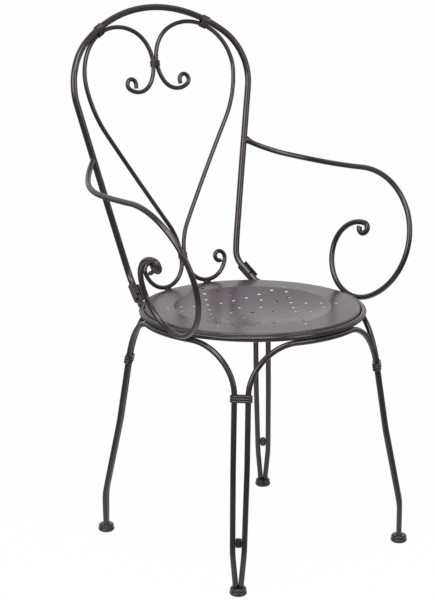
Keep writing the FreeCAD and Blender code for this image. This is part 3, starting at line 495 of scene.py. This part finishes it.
# %% Mix the three finishes
PAINTS = {
    "frame_paint": coat(
        "frame_paint", (0.010, 0.0073, 0.0092), (0.018, 0.0138, 0.0165),
        rough=0.21, spread=0.03, peel=0.000007, specular=0.62, dusty=0.03,
    ),
    # The seat wears the frame's coat, and its tones are painted lighter as painted
    # light on the dish
    "seat_paint": coat(
        "seat_paint", (0.038, 0.0262, 0.0320), (0.060, 0.0438, 0.0515),
        rough=0.25, spread=0.04, peel=0.000012, specular=0.40, dusty=0.06,
    ),
    "foot_plastic": coat(
        "foot_plastic", (0.010, 0.0090, 0.0095), (0.018, 0.016, 0.017),
        rough=0.30, spread=0.06, peel=0.00002, specular=0.5, dusty=0.05,
    ),
}
slots = {part["node"]: part["material_slot"] for part in frame["record"]["subparts"]}
for name, piece in nodes.items():
    piece.data.materials.clear()
    piece.data.materials.append(PAINTS[slots[name]])
print({name: sum(slots[n] == name for n in nodes) for name in PAINTS})

# %% [markdown]
# ## Where one rod meets the next
# The real rods are welded, and the paint rounds the weld into a smooth fillet.
# The solids stop a third of a millimetre short of each other, so each weld
# bridges that gap. To find the spot, two pieces are asked in turn for their
# nearest point to the other's, and the answers soon settle on the contact.

# %% Find where two pieces nearly touch
CONTACT_TURNS = 40
SURFACES = {}


def surface_of(name):
    """A tree of a node's faces, to ask for nearest points, and its points."""
    if name not in SURFACES:
        mesh = nodes[name].data
        points = [v.co.copy() for v in mesh.vertices]
        faces = [tuple(p.vertices) for p in mesh.polygons]
        SURFACES[name] = BVHTree.FromPolygons(points, faces), points
    return SURFACES[name]


def contact(first, second, near):
    """The contact nearest to a place, and its normal from first to second."""
    first_tree, _ = surface_of(first)
    second_tree, _ = surface_of(second)
    here = Vector(near)
    for _ in range(CONTACT_TURNS):
        on_first, out, _, _ = first_tree.find_nearest(here)
        here, _, _, _ = second_tree.find_nearest(on_first)
    return (on_first + here) / 2, out.normalized()


print("contact finder ready")

# %% [markdown]
# A weld also needs to know which way a rod runs and where its middle is. Near a
# place along a rod, the points of its mesh spread most in the rod's direction,
# so a guess that is multiplied by their spread again and again turns that way.

# %% Find a rod's run and its middle
RUN_TURNS = 60
FIRST_GUESS = (0.3, 0.5, 0.8)


def run_of(name, place, within):
    """The direction in which a rod runs near a place."""
    _, points = surface_of(name)
    close = [p - place for p in points if (p - place).length < within]
    spread = Matrix(((0, 0, 0), (0, 0, 0), (0, 0, 0)))
    for offset in close:
        for row in range(3):
            for column in range(3):
                spread[row][column] += offset[row] * offset[column]
    along = Vector(FIRST_GUESS)
    for _ in range(RUN_TURNS):
        along = (spread @ along).normalized()
    return along


def centre_of(name, place, toward, near, far):
    """The middle of a rod, from its points that lie just behind a place."""
    _, points = surface_of(name)
    close = []
    for point in points:
        behind = (place - point).dot(toward)
        aside = (place - point - toward * behind).length
        if near < behind < far and aside < far:
            close.append(point)
    return sum(close, Vector()) / len(close)


def middle_of(name):
    """The middle of a node's box."""
    low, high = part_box(name)
    return (Vector(low) + Vector(high)) / 2


print("middle of the seat", tuple(round(x, 3) for x in middle_of("seat_pan")))

# %% [markdown]
# A weld is a short spool of metal between two surfaces: narrow in the middle,
# wider where it runs out onto each piece, and never quite round. Its outline
# is spun round the line that joins the pieces and stretched along the rod. Then
# it is roughened and smoothed a little, and turned into its place.

# %% Spin an outline
SPIN_STEPS = 28
MERGE_DISTANCE = 1e-7


def spun(outline, steps):
    """A closed solid of revolution about Z from (radius, height) points."""
    bm = bmesh.new()
    verts = [bm.verts.new((radius, 0, height)) for radius, height in outline]
    edges = [bm.edges.new(pair) for pair in zip(verts, verts[1:])]
    bmesh.ops.spin(
        bm,
        geom=verts + edges,
        cent=(0, 0, 0),
        axis=(0, 0, 1),
        angle=2 * math.pi,
        steps=steps,
        use_merge=True,
    )
    bmesh.ops.remove_doubles(bm, verts=bm.verts, dist=MERGE_DISTANCE)
    return bm


print("weld outline has", SPIN_STEPS, "sides")

# %% Shape a weld
RIPPLE = 0.00022
RIPPLE_SCALE = 700.0
SMOOTHING = 0.3
ON_AXIS = 1e-6


def weld(name, outline, place, axis, run, stretch):
    """Spin a weld, stretch it along the rod's run and set it in its place."""
    bm = spun(outline, SPIN_STEPS)
    bmesh.ops.scale(bm, vec=(stretch[0], stretch[1], 1), verts=bm.verts)
    for vert in bm.verts:
        flat = Vector((vert.co.x, vert.co.y, 0))
        if flat.length > ON_AXIS:
            wobble = noise.noise((vert.co + place) * RIPPLE_SCALE)
            vert.co += flat.normalized() * wobble * RIPPLE
    bmesh.ops.smooth_vert(
        bm,
        verts=bm.verts,
        factor=SMOOTHING,
        use_axis_x=True,
        use_axis_y=True,
        use_axis_z=True,
    )
    along = (run - axis * run.dot(axis)).normalized()
    basis = Matrix((along, axis.cross(along), axis)).transposed().to_4x4()
    bmesh.ops.transform(bm, matrix=Matrix.Translation(place) @ basis, verts=bm.verts)
    bmesh.ops.recalc_face_normals(bm, faces=bm.faces)
    mesh = bpy.data.meshes.new(name)
    bm.to_mesh(mesh)
    bm.free()
    mesh.shade_smooth()
    mesh.materials.append(PAINTS["frame_paint"])
    piece = bpy.data.objects.new(name, mesh)
    bpy.context.scene.collection.objects.link(piece)
    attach(piece, "root")
    return piece


print("ripple", RIPPLE, "m deep")

# %% [markdown]
# ## Tacks between rods that cross or run side by side
# The arms are tacked to the seat ring, the heart's foot scrolls to the rim of
# the seat, and each leg's spacer to its two rods. All of these are the same
# small spool, stretched more or less along the rod. The scrolls' tack is cut
# short on the side of the seat, which is too thin to take more of it.

# %% Weld the arms to the ring and the scrolls to the seat
TACK = [
    (0, -0.0021), (0.0039, -0.0021), (0.0036, -0.0014), (0.0031, -0.0006),
    (0.0029, 0), (0.0031, 0.0006), (0.0036, 0.0014), (0.0039, 0.0021), (0, 0.0021),
]
TACK_IN_SEAT = -0.0005
FLAT_TACK = [(radius, max(height, TACK_IN_SEAT)) for radius, height in TACK]
TACK_REACH = 0.02
ARM_RING_NEAR = (0.215, -0.03, 0.44)
ARM_RING_STRETCH = (1.5, 1.1)
HEART_SEAT_NEAR = (0.05, 0.19, 0.444)
HEART_SEAT_STRETCH = (2.5, 0.9)
SCROLL_TACKS = {
    "weld_arm_ring_": (
        "seat_ring", "arm_", ARM_RING_NEAR, TACK, ARM_RING_STRETCH,
    ),
    "weld_heart_seat_": (
        "seat_pan", "heart_rod_", HEART_SEAT_NEAR, FLAT_TACK, HEART_SEAT_STRETCH,
    ),
}
SIDES = {"left": -1, "right": 1}


def on_side(place, sign):
    """A place or direction on the right, or its mirror image on the left."""
    return Vector((place[0] * sign, place[1], place[2]))


for side, sign in SIDES.items():
    for label, (standing, scroll, near, outline, stretch) in SCROLL_TACKS.items():
        place, axis = contact(standing, scroll + side, on_side(near, sign))
        run = run_of(scroll + side, place, TACK_REACH)
        weld(label + side, outline, place, axis, run, stretch)
        print(label + side, tuple(round(x, 4) for x in place))

# %% Weld the spacers to the legs
ARCHES_OF_LEG = {
    "front": ("front", "left"), "right": ("front", "right"),
    "back": ("back", "right"), "left": ("back", "left"),
}
SPACER_STRETCH = (1.7, 0.8)

for leg, arches in ARCHES_OF_LEG.items():
    middle = middle_of("leg_spacer_" + leg)
    for arch in arches:
        place, axis = contact("leg_spacer_" + leg, "leg_arch_" + arch, middle)
        run = run_of("leg_arch_" + arch, place, TACK_REACH)
        name = "weld_spacer_%s_%s" % (leg, arch)
        weld(name, TACK, place, axis, run, SPACER_STRETCH)

# %% [markdown]
# ## Fillets round the ends of rods
# Where a rod ends on another, the weld runs all round it and flares out along
# the piece it stands on. The same spinning makes a skirt that starts thin on
# the rod and is widest at its foot. It is kept narrow across the piece that it
# lands on, so that it shows only where it runs out along it. The points of a
# rod's end don't tell its direction well, so the directions in which the right
# arm and the right stub come to their ends are given, and mirrored for the left.
# The middle of a curved arm's end is found from the points just behind it, and
# a short straight stub's from its box.

# %% Weld the arms to the hoop and the stubs to the ring
ARM_SKIRT = [
    (0, -0.010), (0.0049, -0.010), (0.0051, -0.0075), (0.0054, -0.005),
    (0.0059, -0.0025), (0.0066, 0.0005), (0.0074, 0.003), (0.0078, 0.0058), (0, 0.0058),
]
STUB_SKIRT = [
    (0, -0.010), (0.0059, -0.010), (0.0062, -0.007), (0.0067, -0.004),
    (0.0076, -0.0014), (0.0086, 0.001), (0.0088, 0.003), (0, 0.003),
]
ARM_NEAR = (0.20, 0.16, 0.697)
ARM_TOWARD = (-0.719, 0.538, 0.440)
ARM_STRETCH = (1.0, 0.6)
STUB_NEAR = (0.136, 0.15, 0.436)
STUB_TOWARD = (0.177, -0.768, -0.616)
STUB_STRETCH = (1.0, 0.7)
JOINTS = {
    "weld_arm_hoop_": (
        "arm_", "back_hoop", ARM_NEAR, ARM_TOWARD, ARM_SKIRT, ARM_STRETCH,
    ),
    "weld_stub_ring_": (
        "back_stub_", "seat_ring", STUB_NEAR, STUB_TOWARD, STUB_SKIRT, STUB_STRETCH,
    ),
}
BEHIND_FROM = 0.004
BEHIND_TO = 0.02
SKIRT_REACH = 0.03

for label, (ending, standing, near, aim, skirt, stretch) in JOINTS.items():
    for side, sign in SIDES.items():
        toward = on_side(aim, sign).normalized()
        touch, _ = contact(ending + side, standing, on_side(near, sign))
        if ending == "arm_":
            centre = centre_of(ending + side, touch, toward, BEHIND_FROM, BEHIND_TO)
        else:
            centre = middle_of(ending + side)
        place = centre + toward * toward.dot(touch - centre)
        run = run_of(standing, place, SKIRT_REACH)
        weld(label + side, skirt, place, toward, run, stretch)
        print(label + side, tuple(round(x, 4) for x in place))
